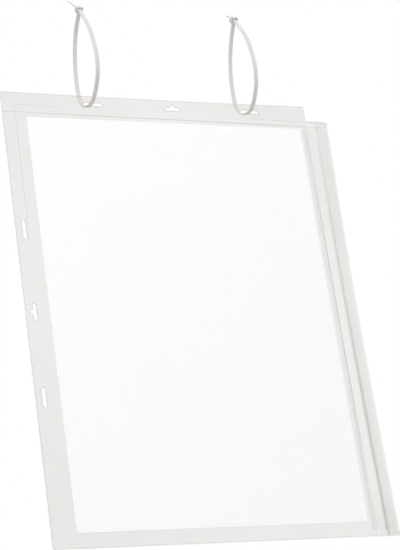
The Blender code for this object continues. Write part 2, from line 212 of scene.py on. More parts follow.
def add_upright_grid(name, left, low, right, high, y, cell):
    """Add an upright grid of about square cells that faces the front."""
    deselect()
    columns, rows = round((right - left) / cell), round((high - low) / cell)
    bpy.ops.mesh.primitive_grid_add(x_subdivisions=columns, y_subdivisions=rows, size=1,
                                    location=((left + right) / 2, y, (low + high) / 2),
                                    rotation=(math.pi / 2, 0, 0))
    bpy.context.object.scale = (right - left, high - low, 1)
    return name_piece(name)


@contextmanager
def editing(item, kind="FACE"):
    """Edit mode on one piece, with nothing selected at first."""
    activate(item)
    bpy.ops.object.mode_set(mode="EDIT")
    bpy.ops.mesh.select_mode(type=kind)
    bpy.ops.mesh.select_all(action="DESELECT")
    yield
    bpy.ops.object.mode_set(mode="OBJECT")


def pick(item, kind, test):
    """Select only the vertices, edges or faces that pass a test of their middle and of themselves."""
    bpy.ops.mesh.select_mode(type=kind)
    bpy.ops.mesh.select_all(action="DESELECT")
    bm = bmesh.from_edit_mesh(item.data)
    parts = {"VERT": bm.verts, "EDGE": bm.edges, "FACE": bm.faces}[kind]
    found = 0
    for part in parts:
        if kind == "VERT":
            middle = part.co
        elif kind == "EDGE":
            middle = (part.verts[0].co + part.verts[1].co) / 2
        else:
            middle = part.calc_center_median()
        if test(middle, part):
            part.select_set(True)
            found += 1
    bm.select_flush_mode()
    bmesh.update_edit_mesh(item.data)
    if not found:
        raise RuntimeError(f"nothing of {item.name} was found to shape")


def cut(places, normal):
    """Cut the piece in edit mode all over along planes, each through a place."""
    for place in places:
        bpy.ops.mesh.select_all(action="SELECT")
        bpy.ops.mesh.bisect(plane_co=place, plane_no=normal)


def move(offset):
    bpy.ops.transform.translate(value=offset)


def extrude(offset):
    bpy.ops.mesh.extrude_region_move(TRANSFORM_OT_translate={"value": offset})


def give(item, slot, test):
    """Give the faces that pass a test one of the piece's materials."""
    pick(item, "FACE", test)
    item.active_material_index = slot
    bpy.ops.object.material_slot_assign()


def apply_modifier(item, kind, **settings):
    """Add a modifier, set it and apply it."""
    activate(item)
    modifier = item.modifiers.new(kind.title(), kind)
    for name, value in settings.items():
        setattr(modifier, name, value)
    bpy.ops.object.modifier_apply(modifier=modifier.name)


def carve(item, tool, operation="DIFFERENCE"):
    """Apply an exact Boolean with a tool, whose materials go with its faces, and remove the tool."""
    apply_modifier(item, "BOOLEAN", operation=operation, solver="EXACT", object=tool, material_mode="TRANSFER")
    bpy.data.objects.remove(tool, do_unlink=True)


def shift_vertices(item, rule):
    """Move each vertex by what the rule gives for its place."""
    for vertex in item.data.vertices:
        vertex.co += rule(vertex.co)
    item.data.update()


def finish_piece(item, body, slot, *nodes, angle=35):
    """Smooth the shading below an angle and tie the piece to its body and its nodes. The slot is not used."""
    activate(item)
    bpy.ops.object.shade_smooth_by_angle(angle=math.radians(angle))
    if body:
        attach(item, body)
    if nodes:
        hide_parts(*nodes)
    return item


def smooth_step(share):
    share = min(1, max(0, share))
    return share * share * (3 - 2 * share)


def smooth_steps(value, low, high):
    return smooth_step((value - low) / (high - low))


# ---------------------------------------------------------------- materials

def node(tree, kind, values=(), links=(), **settings):
    """Add a shader node with its own settings, the values of its sockets and what feeds them."""
    made = tree.nodes.new(kind)
    for name, value in settings.items():
        setattr(made, name, value)
    for socket, value in dict(values).items():
        made.inputs[socket].default_value = value
    for socket, source in dict(links).items():
        tree.links.new(source, made.inputs[socket])
    return made


def ramp(tree, value, start, end, first, last):
    """A level that goes from first to last while the value goes from start to end."""
    return node(tree, "ShaderNodeMapRange", {"From Min": start, "From Max": end, "To Min": first, "To Max": last},
                {"Value": value}).outputs["Result"]


def maths(tree, operation, *operands):
    """A Math node whose operands are numbers or what feeds them."""
    made = node(tree, "ShaderNodeMath", operation=operation)
    for place, operand in enumerate(operands):
        if isinstance(operand, (int, float)):
            made.inputs[place].default_value = operand
        else:
            tree.links.new(operand, made.inputs[place])
    return made.outputs[0]


def noise(tree, place, scale, detail):
    """Soft noise from 0 to 1, whose patches are about 1 / scale metres across."""
    return node(tree, "ShaderNodeTexNoise", {"Scale": scale, "Detail": detail}, {"Vector": place}).outputs["Fac"]


def bumps(tree, height, strength, distance):
    """The normals of a surface that a height makes uneven."""
    return node(tree, "ShaderNodeBump", {"Strength": strength, "Distance": distance}, {"Height": height}).outputs[0]


def clouded(tree, cloud, colour, darker):
    """A colour that a cloud darkens to a share of itself."""
    return node(tree, "ShaderNodeMix", {"A": (*[c * darker for c in colour], 1), "B": (*colour, 1)},
                {"Factor": cloud}, data_type="RGBA").outputs["Result"]


def mixed(tree, share, first, second):
    """A shader that goes from the first to the second with the share."""
    return node(tree, "ShaderNodeMixShader", links={0: share, 1: first, 2: second}).outputs[0]


def height_of(tree, place):
    return node(tree, "ShaderNodeSeparateXYZ", links={"Vector": place}).outputs["Z"]


def distance_to(tree, place, spot):
    return node(tree, "ShaderNodeVectorMath", {1: spot}, {0: place}, operation="DISTANCE").outputs["Value"]


def new_material(name):
    """An empty node material and its Object coordinates."""
    made = bpy.data.materials.new(name)
    made.use_nodes = True
    made.node_tree.nodes.clear()
    place = node(made.node_tree, "ShaderNodeTexCoord").outputs["Object"]
    return made, made.node_tree, place


def clear_plastic(name, tint, haze_colour, haze, gloss=1.0, seen=None, thick=None):
    """See-through plastic: a tint for what is seen through it, a milky share of its own, and a gloss.

    seen scales the milky share, and the share after it is lost in a darker body on top of it: the zip's build-up of
    plastic, and also painted shade in the back film's corners and a painted reflection that darkens the zip lower down.
    """
    made, tree, place = new_material(name)
    # uneven calendering: soft patches about 80 mm across, which lighten and darken the haze by a tenth
    level = ramp(tree, noise(tree, place, 12, 2), 0.3, 0.7, haze * 0.9, haze * 1.1)
    if seen:
        level = maths(tree, "MULTIPLY", level, seen(tree, place))
    # the ripple left by the rollers, about 6 mm from crest to crest, shows only in the gloss
    bump = bumps(tree, noise(tree, place, 160, 1), 0.25, 0.0001)
    through = node(tree, "ShaderNodeBsdfTransparent", {"Color": (*tint, 1)}).outputs[0]
    body = node(tree, "ShaderNodeBsdfPrincipled", {"Base Color": (*haze_colour, 1), "Roughness": 0.45, "IOR": 1.53},
                {"Normal": bump}).outputs[0]
    milky = mixed(tree, level, through, body)
    if thick:
        # the darker body in the rib's grey, which also gives the painted shade and the painted reflection
        dark = node(tree, "ShaderNodeBsdfPrincipled", {"Base Color": (*settings().zip.profile_and_shade_colour, 1),
                                                       "Roughness": 0.6, "IOR": 1.53}).outputs[0]
        milky = mixed(tree, thick(tree, place), milky, dark)
    shine = node(tree, "ShaderNodeBsdfAnisotropic", {"Color": (1, 1, 1, 1), "Roughness": 0.12},
                 {"Normal": bump}).outputs[0]
    # the gloss is a few percent face on and much more at a glancing angle
    facing = node(tree, "ShaderNodeLayerWeight", {"Blend": 0.5}).outputs["Facing"]
    share = maths(tree, "MULTIPLY_ADD", maths(tree, "POWER", facing, 5), 0.6 * gloss, 0.03 * gloss)
    node(tree, "ShaderNodeOutputMaterial", links={"Surface": mixed(tree, share, milky, shine)})
    return made


def near(tree, place, spots):
    """A share of 1 near some spots that fades to 0 away from them."""
    share = 0
    for spot, full, gone in spots:
        share = maths(tree, "MAXIMUM", ramp(tree, distance_to(tree, place, spot), full, gone, 1, 0), share)
    return share


def profile_and_reflection_share(tree, place):
    """How dark the zip's band is: by the build-up of plastic painted on its vertices, and more so lower down, where the
    darkening is a painted reflection.
    """
    build_up = node(tree, "ShaderNodeAttribute", attribute_name="build_up").outputs["Fac"]
    height = height_of(tree, place)
    # painted reflection: the band darkens from top to bottom, standing in for a darker reflection lower down
    level = ramp(tree, height, -85 * MM, -310 * MM, 0.025, 0.123)
    # both strips are a little greyer towards their ends
    ends = maths(tree, "ADD", ramp(tree, height, -190 * MM, -120 * MM, 0, 0.014),
                 ramp(tree, height, -355 * MM, -385 * MM, 0, 0.027))
    return maths(tree, "MULTIPLY_ADD", build_up, level, ends)


def melted_profile_share(tree, place):
    """The same band where both strips are one, so that its single front face is as dark as their three."""
    return maths(tree, "MULTIPLY", profile_and_reflection_share(tree, place), 2.4)


def corner_shade_share(tree, place):
    """Painted shade: how much greyer the film is near its corners, most at the bottom left."""
    whole = 0
    for corner, most in (((FILM_LEFT, 0, FILM_BOTTOM), 0.035), ((FILM_RIGHT, 0, FILM_TOP), 0.022),
                         ((FILM_LEFT, 0, FILM_TOP), 0.022)):
        whole = maths(tree, "MULTIPLY_ADD", near(tree, place, [(corner, 30 * MM, 160 * MM)]), most, whole)
    return whole


def even_share(tree, place):
    """The back film's milkiness, which is least in the middle of its top margin."""
    return maths(tree, "MULTIPLY_ADD", near(tree, place, [((-25 * MM, 0, FILM_TOP), 25 * MM, 80 * MM)]), -0.35, 1)


def shared(name, make):
    """The material of that name, made when it is first needed."""
    return bpy.data.materials.get(name) or make(name)


def front_film_material(name):
    return clear_plastic(name, (0.995, 0.995, 0.995), settings().film.haze_colour, 0.012)


def back_film_material(name):
    # the back film greys towards its corners as painted shade
    return clear_plastic(name, settings().film.back_tint, settings().film.haze_colour, 0.13, seen=even_share,
                         thick=corner_shade_share)


def lap_share(tree, place):
    """Where the back film's edge is pressed into the zip strip: most at half height."""
    middle = ((FILM_RIGHT, 0, -230 * MM), 50 * MM, 110 * MM)
    return maths(tree, "MULTIPLY_ADD", near(tree, place, [middle]), 0.8, 0.2)


def faint_weld_share(tree, place):
    """Where the second heat seal is pressed in: only near the corners."""
    corners = (((LEFT_WELD, 0, -120 * MM), 20 * MM, 80 * MM), ((LEFT_WELD, 0, -74 * MM), 15 * MM, 50 * MM),
               ((FILM_RIGHT, 0, STRIP_TOP), 15 * MM, 75 * MM))
    return near(tree, place, corners)


def hinge_line_share(tree, place):
    """Where the front film is sealed to the lip: darker lower down."""
    return ramp(tree, height_of(tree, place), -250 * MM, -340 * MM, 0.15, 0.7)


def profile_material(name):
    return clear_plastic(name, (0.985, 0.985, 0.98), settings().zip.profile_and_shade_colour, 0.04, gloss=0.3)


def paper_material(name):
    """Uncoated office paper: matt white, with a faint cloud of fibres."""
    made, tree, place = new_material(name)
    colour = settings().paper.colour
    # the cloudiness of paper, patches of about 5 mm, and its fibres of about 1 mm
    tone = clouded(tree, noise(tree, place, 200, 3), colour, 0.985)
    bump = bumps(tree, noise(tree, place, 1000, 2), 0.15, 0.00005)
    body = node(tree, "ShaderNodeBsdfPrincipled", {"Roughness": 0.92, "IOR": 1.5},
                {"Base Color": tone, "Normal": bump}).outputs[0]
    node(tree, "ShaderNodeOutputMaterial", links={"Surface": body})
    return made


def nylon_material(name):
    """Natural polyamide 6.6 as moulded: a pale, slightly see-through grey with a soft sheen."""
    made, tree, place = new_material(name)
    colour = settings().tie.colour
    tone = clouded(tree, noise(tree, place, 300, 2), colour, 0.95)
    # the fine grain of the mould, drawn at 0.5 mm so that it shows
    bump = bumps(tree, noise(tree, place, 2000, 1), 0.2, 0.00004)
    body = node(tree, "ShaderNodeBsdfPrincipled",
                {"Roughness": 0.55, "IOR": 1.53, "Specular IOR Level": 0.15, "Subsurface Weight": 0.2,
                 "Subsurface Scale": 0.001, "Subsurface Radius": (1, 0.95, 0.9)},
                {"Base Color": tone, "Normal": bump}).outputs[0]
    node(tree, "ShaderNodeOutputMaterial", links={"Surface": body})
    return made


def add_materials(item, *makers):
    """Give a piece its material slots, each named for what it is made of."""
    for name, make in makers:
        item.data.materials.append(shared(name, make))


def plastic(name, *look, **more):
    """A clear plastic: its name, and what makes it when it is first needed."""
    return name, lambda name: clear_plastic(name, *look, **more)


LINE_GREY = linear("#8F8B86")
STRIP_GREY, GRIP_GREY = linear("#DAD9D6"), linear("#D0CECA")
FRONT_FILM_PVC = ("front_film_clear_pvc", front_film_material)
BACK_FILM_PVC = ("back_film_grey_pvc", back_film_material)
# die-cut film seen on its edge, where the light that is caught inside is lost: dark grey
CUT_EDGE = plastic("die_cut_edge", (0.93, 0.93, 0.93), linear("#B4B1AC"), 0.25, gloss=0.15)
# the last 0.75 mm of a cut film, where the light inside it comes out: a faint grey line
EDGE_BAND = plastic("film_edge_band", (0.982, 0.982, 0.982), linear("#A9A6A1"), 0.05)
# the edge of a film where it is sealed onto the zip strip: a grey line
LAP_EDGE = plastic("lapped_film_edge", (0.985, 0.985, 0.985), LINE_GREY, 0.24, gloss=0.5, seen=lap_share)
# a heat-seal line, where the two films are melted together into a narrow grey bead
WELD = plastic("heat_seal_line", (0.967, 0.967, 0.967), LINE_GREY, 0.1, gloss=0.5)
FAINT_WELD = plastic("faint_heat_seal_line", (0.995, 0.995, 0.995), LINE_GREY, 0.075, gloss=0.5, seen=faint_weld_share)
HINGE_LINE = plastic("sealed_lip_line", (0.99, 0.99, 0.99), LINE_GREY, 0.12, gloss=0.5, seen=hinge_line_share)
# extruded flexible PVC strip, milkier than the film and as glossy, with the zip's dark band along it
STRIP_PVC = plastic("extruded_strip_pvc", (0.975, 0.974, 0.971), STRIP_GREY, 0.06, thick=profile_and_reflection_share)
# the thicker outer half of the strip, which is pulled to open the zip
GRIP_PVC = plastic("thick_strip_pvc", (0.974, 0.973, 0.97), GRIP_GREY, 0.09, thick=profile_and_reflection_share)
# where strip and film are fused, the strip's own faces are gone: nearly clear
FUSED_PVC = plastic("fused_lap_pvc", (1, 1, 1), STRIP_GREY, 0.01, gloss=0.5)
# the rib and the walls of the channel: the same PVC with its gloss rubbed dull by the zip's running
PROFILE_PVC = ("zip_profile_pvc", profile_material)
# the zip's two ends, melted flat: both strips are one here, as grey as the strips that went into it
MELTED_PVC = plastic("melted_strip_end_pvc", (0.929, 0.926, 0.919), STRIP_GREY, 0.08, gloss=0.6,
                     thick=melted_profile_share)
MELTED_GRIP_PVC = plastic("melted_thick_strip_end_pvc", (0.875, 0.871, 0.863), GRIP_GREY, 0.12, gloss=0.6,
                          thick=melted_profile_share)
OFFICE_PAPER = ("uncoated_office_paper", paper_material)
NATURAL_NYLON = ("natural_polyamide", nylon_material)


def settings():
    return bpy.context.scene.document_pocket


# ---------------------------------------------------------------- the films

def ripple(place):
    """The soft film's gentle waves, a few centimetres long, fading out towards the zip."""
    x, z = place.x / MM, place.z / MM
    waves = math.sin(x / 11 + z / 26 + 1) + 0.8 * math.sin(z / 9 - x / 38 + 2) + 0.6 * math.sin(x / 5.3 + z / 7.5)
    return settings().film.ripple * waves / 2.4 * (1 - smooth_steps(x, 70, 96))


def zip_bow(z, outer=0):
    """How far the zip is drawn in at this height: most a little above the middle, and more at its outer edge."""
    share = min(1, max(0, (STRIP_TOP - z) / (STRIP_TOP - FILM_BOTTOM)))
    return settings().zip.bow * (1 + 0.45 * outer) * math.sin(math.pi * share ** (0.7 + 0.3 * outer))


def settle_edges(place):
    """How the soft films' cut edges lie: the top one hangs down between the ties, the left one is drawn in a little."""
    along = min(1, max(0, (place.x - FILM_LEFT) / (FILM_RIGHT - FILM_LEFT)))
    sag = (0.05 + 0.5 * along + 0.7 * math.sin(math.pi * along)) * MM * smooth_steps(place.z, -69 * MM, -65 * MM)
    trim = 0.75 * MM * smooth_steps(FILM_LEFT - place.x, -4 * MM, -0.8 * MM)
    return Vector((trim, ripple(place), -sag))


def weld_height(x):
    """The height of the top heat seal, which runs a little downhill to the right."""
    return TOP_WELD - 0.65 * MM + (-4.5 * MM - x) * WELD_FALL


def upper_weld_height(x):
    """The fainter line above it, which meets the top of the zip strip."""
    return STRIP_TOP - 0.95 * MM + (STRIP_RIGHT - x) * UPPER_WELD_FALL


def place_tool(tool, place, along_z):
    """Turn a punch upright if its row of holes is, and put it in its place."""
    add_materials(tool, CUT_EDGE)
    if along_z:
        tool.matrix_world = Matrix.Rotation(math.radians(-90), 4, "Y")
    tool.location = place
    activate(tool)
    bpy.ops.object.transform_apply(location=True, rotation=True, scale=True)
    return tool


def add_slot_tool(place, length, height, along_z, depth):
    """A round-ended punch: a cylinder whose two halves are drawn apart."""
    deselect()
    bpy.ops.mesh.primitive_cylinder_add(vertices=32, radius=height / 2, depth=depth, rotation=(math.pi / 2, 0, 0))
    punch = name_piece("slot_punch")
    for side in (-1, 1):
        with editing(punch):
            pick(punch, "VERT", lambda co, _: co.x * side > 1e-6)
            move((side * (length - height) / 2, 0, 0))
    return place_tool(punch, place, along_z)


def add_bump_tool(place, rim, along_z, depth):
    """The punch of the hook hole's bump: a block narrowed to a rounded top."""
    half, height = 2.2 * MM + rim, 2.2 * MM + rim
    punch = add_block("bump_punch", (-half, -depth / 2, -1 * MM), (half, depth / 2, height))
    with editing(punch):
        pick(punch, "FACE", lambda co, _: co.z > height - 1e-6)
        bpy.ops.transform.resize(value=(0.42, 1, 1), center_override=(0, 0, height))
        pick(punch, "EDGE", lambda co, part: co.z > height - 1e-6 and abs(co.x) > 0.5 * MM)
        bpy.ops.mesh.bevel(offset=0.8 * MM, segments=6, affect="EDGES")
    return place_tool(punch, place, along_z)


def punch_margins(item, face_y):
    """Punch slot, hook hole and slot into the top and the left margin, each first with its pressed rim."""
    film = settings().film
    hook, drop, rise = (12.2 * MM, 2.5 * MM), 0.6 * MM, 0.65 * MM
    slot_z = SLOT_Z + (CAD_SLOT_HEIGHT - film.slot_height) / 2    # the ties bear on the slots' upper edges
    for rim, y, depth in ((RIM_WIDTH, face_y, 2 * RIM_DEPTH), (0, 0, 4 * MM)):
        for side in (-1, 1):
            slot = (film.slot_length + 2 * rim, film.slot_height + 2 * rim)
            carve(item, add_slot_tool((side * SLOT_PITCH, y, slot_z), *slot, False, depth))
            carve(item, add_slot_tool((SIDE_SLOT_X, y, SIDE_SLOT_Z + side * SIDE_SLOT_PITCH), *slot, True, depth))
        slot = (hook[0] + 2 * rim, hook[1] + 2 * rim)
        carve(item, add_slot_tool((0, y, SLOT_Z - drop), *slot, False, depth))
        carve(item, add_bump_tool((0, y, SLOT_Z + rise), rim, False, depth))
        carve(item, add_slot_tool((SIDE_SLOT_X + drop, y, SIDE_SLOT_Z), *slot, True, depth))
        carve(item, add_bump_tool((SIDE_SLOT_X - rise, y, SIDE_SLOT_Z), rim, True, depth))


def round_corners(item, corners, radius):
    """Round corner vertices of a flat grid."""
    pick(item, "VERT", lambda co, _: any((co - corner).length < 1e-5 for corner in corners))
    bpy.ops.mesh.bevel(offset=radius, segments=6, affect="VERTICES")


def thicken_film(item):
    """Give a film its thickness, with its cut edges in their own material."""
    apply_modifier(item, "SOLIDIFY", thickness=FILM_DEPTH, offset=-1)
    with editing(item):
        give(item, 1, lambda co, part: abs(part.normal.y) < 0.5)


def film_corners(y):
    sides = [(FILM_LEFT, FILM_BOTTOM), (FILM_LEFT, FILM_TOP), (FILM_RIGHT, FILM_TOP)]
    return [Vector((x, y, z)) for x, z in sides]


def build_back_film():
    """The flat back sheet: rounded, punched, its open edge drawn in with the zip."""
    y = BACK_FILM[0].y
    item = add_upright_grid("back_film_sheet", FILM_LEFT, FILM_BOTTOM, FILM_RIGHT, FILM_TOP, y, 3 * MM)
    add_materials(item, BACK_FILM_PVC, CUT_EDGE, LAP_EDGE)
    with editing(item):
        round_corners(item, film_corners(y), settings().film.corner_radius)
        cut([(FILM_RIGHT - 0.55 * MM, y, 0)], (1, 0, 0))
        cut([(0, y, MOUTH_TOP), (0, y, MOUTH_BOTTOM)], (0, 0, 1))
        give(item, 2, lambda co, _: co.x > FILM_RIGHT - 0.55 * MM and MOUTH_BOTTOM < co.z < MOUTH_TOP)
    thicken_film(item)
    punch_margins(item, BACK_FILM[1].y)

    def settle(co):
        lap = 0.5 * MM * smooth_steps(co.x, FILM_RIGHT - 1.2 * MM, FILM_RIGHT - 0.56 * MM)
        lap *= smooth_steps(co.z, MOUTH_BOTTOM, MOUTH_BOTTOM + 4 * MM)
        lap *= smooth_steps(-co.z, -MOUTH_TOP, 4 * MM - MOUTH_TOP)
        return settle_edges(co) + Vector((lap - zip_bow(co.z) * smooth_steps(co.x, BOW_START, FILM_RIGHT), 0, 0))

    shift_vertices(item, settle)
    return finish_piece(item, "pocket", "film", "back_film")


def raised(place):
    """How far the front film stands out from its rim here, from 0 to 1."""
    left = smooth_steps(place.x, LEFT_WELD, LEFT_WELD + SIDE_SLOPE)
    below = smooth_steps(place.z, BOTTOM_WELD, BOTTOM_WELD + SIDE_SLOPE)
    above = smooth_step((weld_height(place.x) - place.z) / TOP_SLOPE)
    return left * below * above


def build_front_film():
    """The front sheet: sealed to the back one along its rim and standing forward over the paper."""
    y = RIM_FRONT
    item = add_upright_grid("front_film_sheet", FILM_LEFT, FILM_BOTTOM, FILM_RIGHT, FILM_TOP, y, 3 * MM)
    add_materials(item, FRONT_FILM_PVC, CUT_EDGE, WELD, FAINT_WELD, EDGE_BAND, HINGE_LINE)
    half, band = 0.3 * MM, 0.75 * MM    # half the width of a heat seal, and the width of the cut edge's band
    edge = HINGE_X - CLEARANCE / 2
    with editing(item):
        round_corners(item, film_corners(y), settings().film.corner_radius)
        cut([(0, y, weld_height(0) + s) for s in (-half, 0, half, -TOP_SLOPE / 2, -TOP_SLOPE)], (WELD_FALL, 0, 1))
        cut([(0, y, upper_weld_height(0) + s) for s in (-half, half)], (UPPER_WELD_FALL, 0, 1))
        cut([(LEFT_WELD + s, y, 0) for s in (-half, 0, half)], (1, 0, 0))
        cut([(0, y, BOTTOM_WELD), (0, y, MOUTH_TOP), (0, y, MOUTH_BOTTOM)], (0, 0, 1))
        cut([(0, y, FILM_TOP - band), (0, y, FILM_BOTTOM + band)], (0, 0, 1))
        cut([(FILM_LEFT + band, y, 0), (edge - 0.5 * MM, y, 0), (edge, y, 0)], (1, 0, 0))
        pick(item, "FACE", lambda co, _: co.x > edge and MOUTH_BOTTOM < co.z < MOUTH_TOP)
        bpy.ops.mesh.delete(type="FACE")
        give(item, 4, lambda co, _: co.x < FILM_LEFT + band or co.z > FILM_TOP - band or co.z < FILM_BOTTOM + band)
        give(item, 3, lambda co, _: abs(co.z - upper_weld_height(co.x)) < half and co.x > LEFT_WELD)
        give(item, 3, lambda co, _: abs(co.x - LEFT_WELD) < half and co.z < upper_weld_height(co.x))
        give(item, 2, lambda co, _: abs(co.z - weld_height(co.x)) < half)
        give(item, 5, lambda co, _: co.x > edge - 0.5 * MM and MOUTH_BOTTOM < co.z < MOUTH_TOP)
    shift_vertices(item, lambda co: Vector((0, (PANEL_FRONT - RIM_FRONT) * raised(co), 0)))
    thicken_film(item)
    punch_margins(item, RIM_FRONT)

    def settle(co):
        # low down, the sealed edge keeps closer to the lip, whose inner edge is straight
        drift = 0.9 * zip_bow(co.z) * smooth_steps(-co.z, 270 * MM, 340 * MM)
        drift *= smooth_steps(co.x, edge - 2 * MM, edge - 0.5 * MM)
        return settle_edges(co) + Vector((drift - zip_bow(co.z) * smooth_steps(co.x, BOW_START, edge), 0, 0))

    shift_vertices(item, settle)
    return finish_piece(item, "pocket", "film", "front_film")


def build_film_web():
    """The thin web of film that laps over the lip's inner edge, where the lip is hinged."""
    left, right = HINGE_X - 2 * MM, HINGE_X + 1.1 * MM
    low, high = MOUTH_BOTTOM + CLEARANCE, MOUTH_TOP - CLEARANCE
    y = PANEL_FRONT - 0.02 * MM
    item = add_upright_grid("film_hinge_web", left, low, right, high, y, 3.5 * MM)
    add_materials(item, FRONT_FILM_PVC)
    with editing(item):
        cut([(HINGE_X + 0.1 * step * MM, y, 0) for step in range(-6, 8)], (1, 0, 0))
    apply_modifier(item, "SOLIDIFY", thickness=0.1 * MM, offset=1)
    finish_piece(item, None, "film")
    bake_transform(item)
    return item


# ---------------------------------------------------------------- the press-to-close zip

def bow_strip(item, hinged):
    """Draw a strip in along its length, with its outer edge bowed most; a hinge keeps its inner edge straight."""
    spread = settings().zip.spread

    def bend(co):
        inner = smooth_steps(co.x, HINGE_X + 0.2 * MM, HINGE_X + 1.8 * MM) if hinged else 1
        outer = min(1, max(0, (co.x - HINGE_X - 4 * MM) / (STRIP_RIGHT - HINGE_X - 4 * MM)))
        return Vector((spread * outer - zip_bow(co.z, outer) * inner, 0, 0))

    shift_vertices(item, bend)


def paint_density(item, centre):
    """Paint how thick the plastic is at each vertex, which is most along the profile."""
    density = item.data.attributes.new("build_up", "FLOAT", "POINT")
    for vertex, value in zip(item.data.vertices, density.data):
        gap = abs(vertex.co.x - centre) / MM
        value.value = 1 - 0.5 * smooth_steps(gap, 0.4, 1.05) - 0.5 * smooth_steps(gap, 1.0, 1.75)


def lengthwise_cuts():
    """Heights at which the strips are cut so that they can bend."""
    count = 56
    return [MOUTH_BOTTOM + (MOUTH_TOP - MOUTH_BOTTOM) * step / count for step in range(1, count)]


def build_zip_strip_back():
    """The back strip with its channel and its two melted ends."""
    left = HINGE_X + 1.2 * MM
    item = add_block("zip_strip_back", (left, STRIP_FRONT, FILM_BOTTOM), (STRIP_RIGHT, STRIP_BACK, STRIP_TOP))
    add_materials(item, STRIP_PVC, GRIP_PVC, PROFILE_PVC, MELTED_PVC, MELTED_GRIP_PVC, WELD, CUT_EDGE, FUSED_PVC)
    end_left = FILM_RIGHT + 0.04 * MM
    near_wall, far_wall = 0.7 * MM, 1.2 * MM
    top, bottom = MOUTH_TOP - 0.4 * MM, MOUTH_BOTTOM + 0.4 * MM
    line = 0.5 * MM
    groove_top, groove_bottom = 0.9 * MM, 1.4 * MM    # below the strip's top edge
    settled = 0.45 * MM                               # how much lower than in the CAD that edge lies

    def melted_front(co, part):
        return part.normal.y < -0.9 and co.x > end_left and not MOUTH_BOTTOM < co.z < MOUTH_TOP

    with editing(item):
        cut([(end_left, 0, 0)], (1, 0, 0))
        cut([(PROFILE_X + side * x, 0, 0) for side in (-1, 1)
             for x in (0.35 * MM, near_wall, far_wall, 1.45 * MM, 1.75 * MM)], (1, 0, 0))
        cut([(0, 0, z) for z in (MOUTH_TOP, MOUTH_BOTTOM, top, bottom, MOUTH_TOP + line, MOUTH_BOTTOM - line,
                                 STRIP_TOP - groove_top, STRIP_TOP - groove_bottom, FILM_BOTTOM + line)], (0, 0, 1))
        cut([(0, 0, z) for z in lengthwise_cuts()], (0, 0, 1))
        give(item, 1, lambda co, _: co.x > GRIP_X)
        give(item, 7, lambda co, _: co.x < end_left + 0.001 * MM)
        give(item, 3, lambda co, part: melted_front(co, part) and co.x < GRIP_X)
        give(item, 4, lambda co, part: melted_front(co, part) and co.x > GRIP_X)
        give(item, 5, lambda co, part: melted_front(co, part) and (
            0 < co.z - MOUTH_TOP < line or 0 < MOUTH_BOTTOM - co.z < line))
        give(item, 6, lambda co, part: melted_front(co, part) and (
            groove_top < STRIP_TOP - co.z < groove_bottom or co.z < FILM_BOTTOM + line))
        pick(item, "FACE", melted_front)
        extrude((0, PANEL_FRONT - STRIP_FRONT, 0))
        give(item, 2, lambda co, part: part.normal.y < -0.9 and near_wall < abs(co.x - PROFILE_X) < far_wall
             and bottom < co.z < top and co.y > STRIP_FRONT - 1e-6)
        extrude((0, -0.45 * MM, 0))
        extrude((0, -0.15 * MM, 0))
        give(item, 6, lambda co, _: abs(co.z - STRIP_TOP) < 1e-6)
        give(item, 4, lambda co, _: co.z < FILM_BOTTOM + 1e-6)
        pick(item, "EDGE", lambda co, _: abs(co.x - STRIP_RIGHT) < 1e-6 and abs(co.z - STRIP_TOP) < 1e-6)
        bpy.ops.mesh.bevel(offset=2.5 * MM, segments=8, affect="EDGES")
        give(item, 1, lambda co, part: part.normal.x > 0.05 and part.normal.z > 0.05)
        pick(item, "VERT", lambda co, _: co.z > STRIP_TOP - 0.6 * MM)
        move((0, 0, -settled))
    paint_density(item, PROFILE_X + 0.25 * MM)
    bow_strip(item, False)
    return finish_piece(item, "pocket", "zip", "zip_tape_back", angle=25)


def build_zip_strip_front():
    """The front strip: the lip that is pulled, with the rib that presses into the channel."""
    left, right = HINGE_X + CLEARANCE / 2, STRIP_RIGHT
    front, back = PANEL_FRONT, PANEL_FRONT + 0.3 * MM
    item = add_block("zip_lip_front", (left, front, LIP[0].z), (right, back, LIP[1].z))
    add_materials(item, STRIP_PVC, GRIP_PVC, PROFILE_PVC, WELD, CUT_EDGE, FUSED_PVC)
    bead = STRIP_RIGHT - 2.4 * MM
    neck = 0.3 * MM
    line = 0.3 * MM
    with editing(item):
        cut([(HINGE_X + 1.8 * MM, 0, 0)], (1, 0, 0))
        cut([(PROFILE_X + side * x, 0, 0) for side in (-1, 1)
             for x in (neck, 0.7 * MM, 1.1 * MM, 1.45 * MM, 1.75 * MM)], (1, 0, 0))
        cut([(bead + x, 0, 0) for x in (-0.55 * MM, -0.25 * MM, 0.25 * MM, 0.55 * MM)], (1, 0, 0))
        cut([(0, 0, LIP[1].z - line), (0, 0, LIP[0].z + line)], (0, 0, 1))
        cut([(0, 0, z) for z in lengthwise_cuts()], (0, 0, 1))
        # the raised bead keeps the lighter strip plastic: a painted highlight along its ridge
        give(item, 1, lambda co, _: co.x > GRIP_X and abs(co.x - bead) > 0.3 * MM)
        give(item, 5, lambda co, _: co.x < HINGE_X + 1.8 * MM)
        give(item, 3, lambda co, part: part.normal.y < -0.9 and co.z > LIP[1].z - line)
        give(item, 4, lambda co, part: part.normal.x > 0.9 or abs(part.normal.z) > 0.9)
        pick(item, "VERT", lambda co, _: co.y < front + 1e-6 and abs(co.x - bead) < 0.3 * MM)
        move((0, -0.15 * MM, 0))
        give(item, 2, lambda co, part: part.normal.y > 0.9 and abs(co.x - PROFILE_X) < neck)
        extrude((0, 0.5 * MM, 0))
        extrude((0, 0.12 * MM, 0))
        bpy.ops.transform.resize(value=(1.6, 1, 1), center_override=(PROFILE_X, 0, 0))
        extrude((0, 0.3 * MM, 0))
        bpy.ops.transform.resize(value=(0.4, 1, 1), center_override=(PROFILE_X, 0, 0))
    paint_density(item, PROFILE_X + 0.25 * MM)
    bow_strip(item, True)
    return finish_piece(item, "lip", "zip", "zip_tape_front", angle=25)


# ---------------------------------------------------------------- the paper

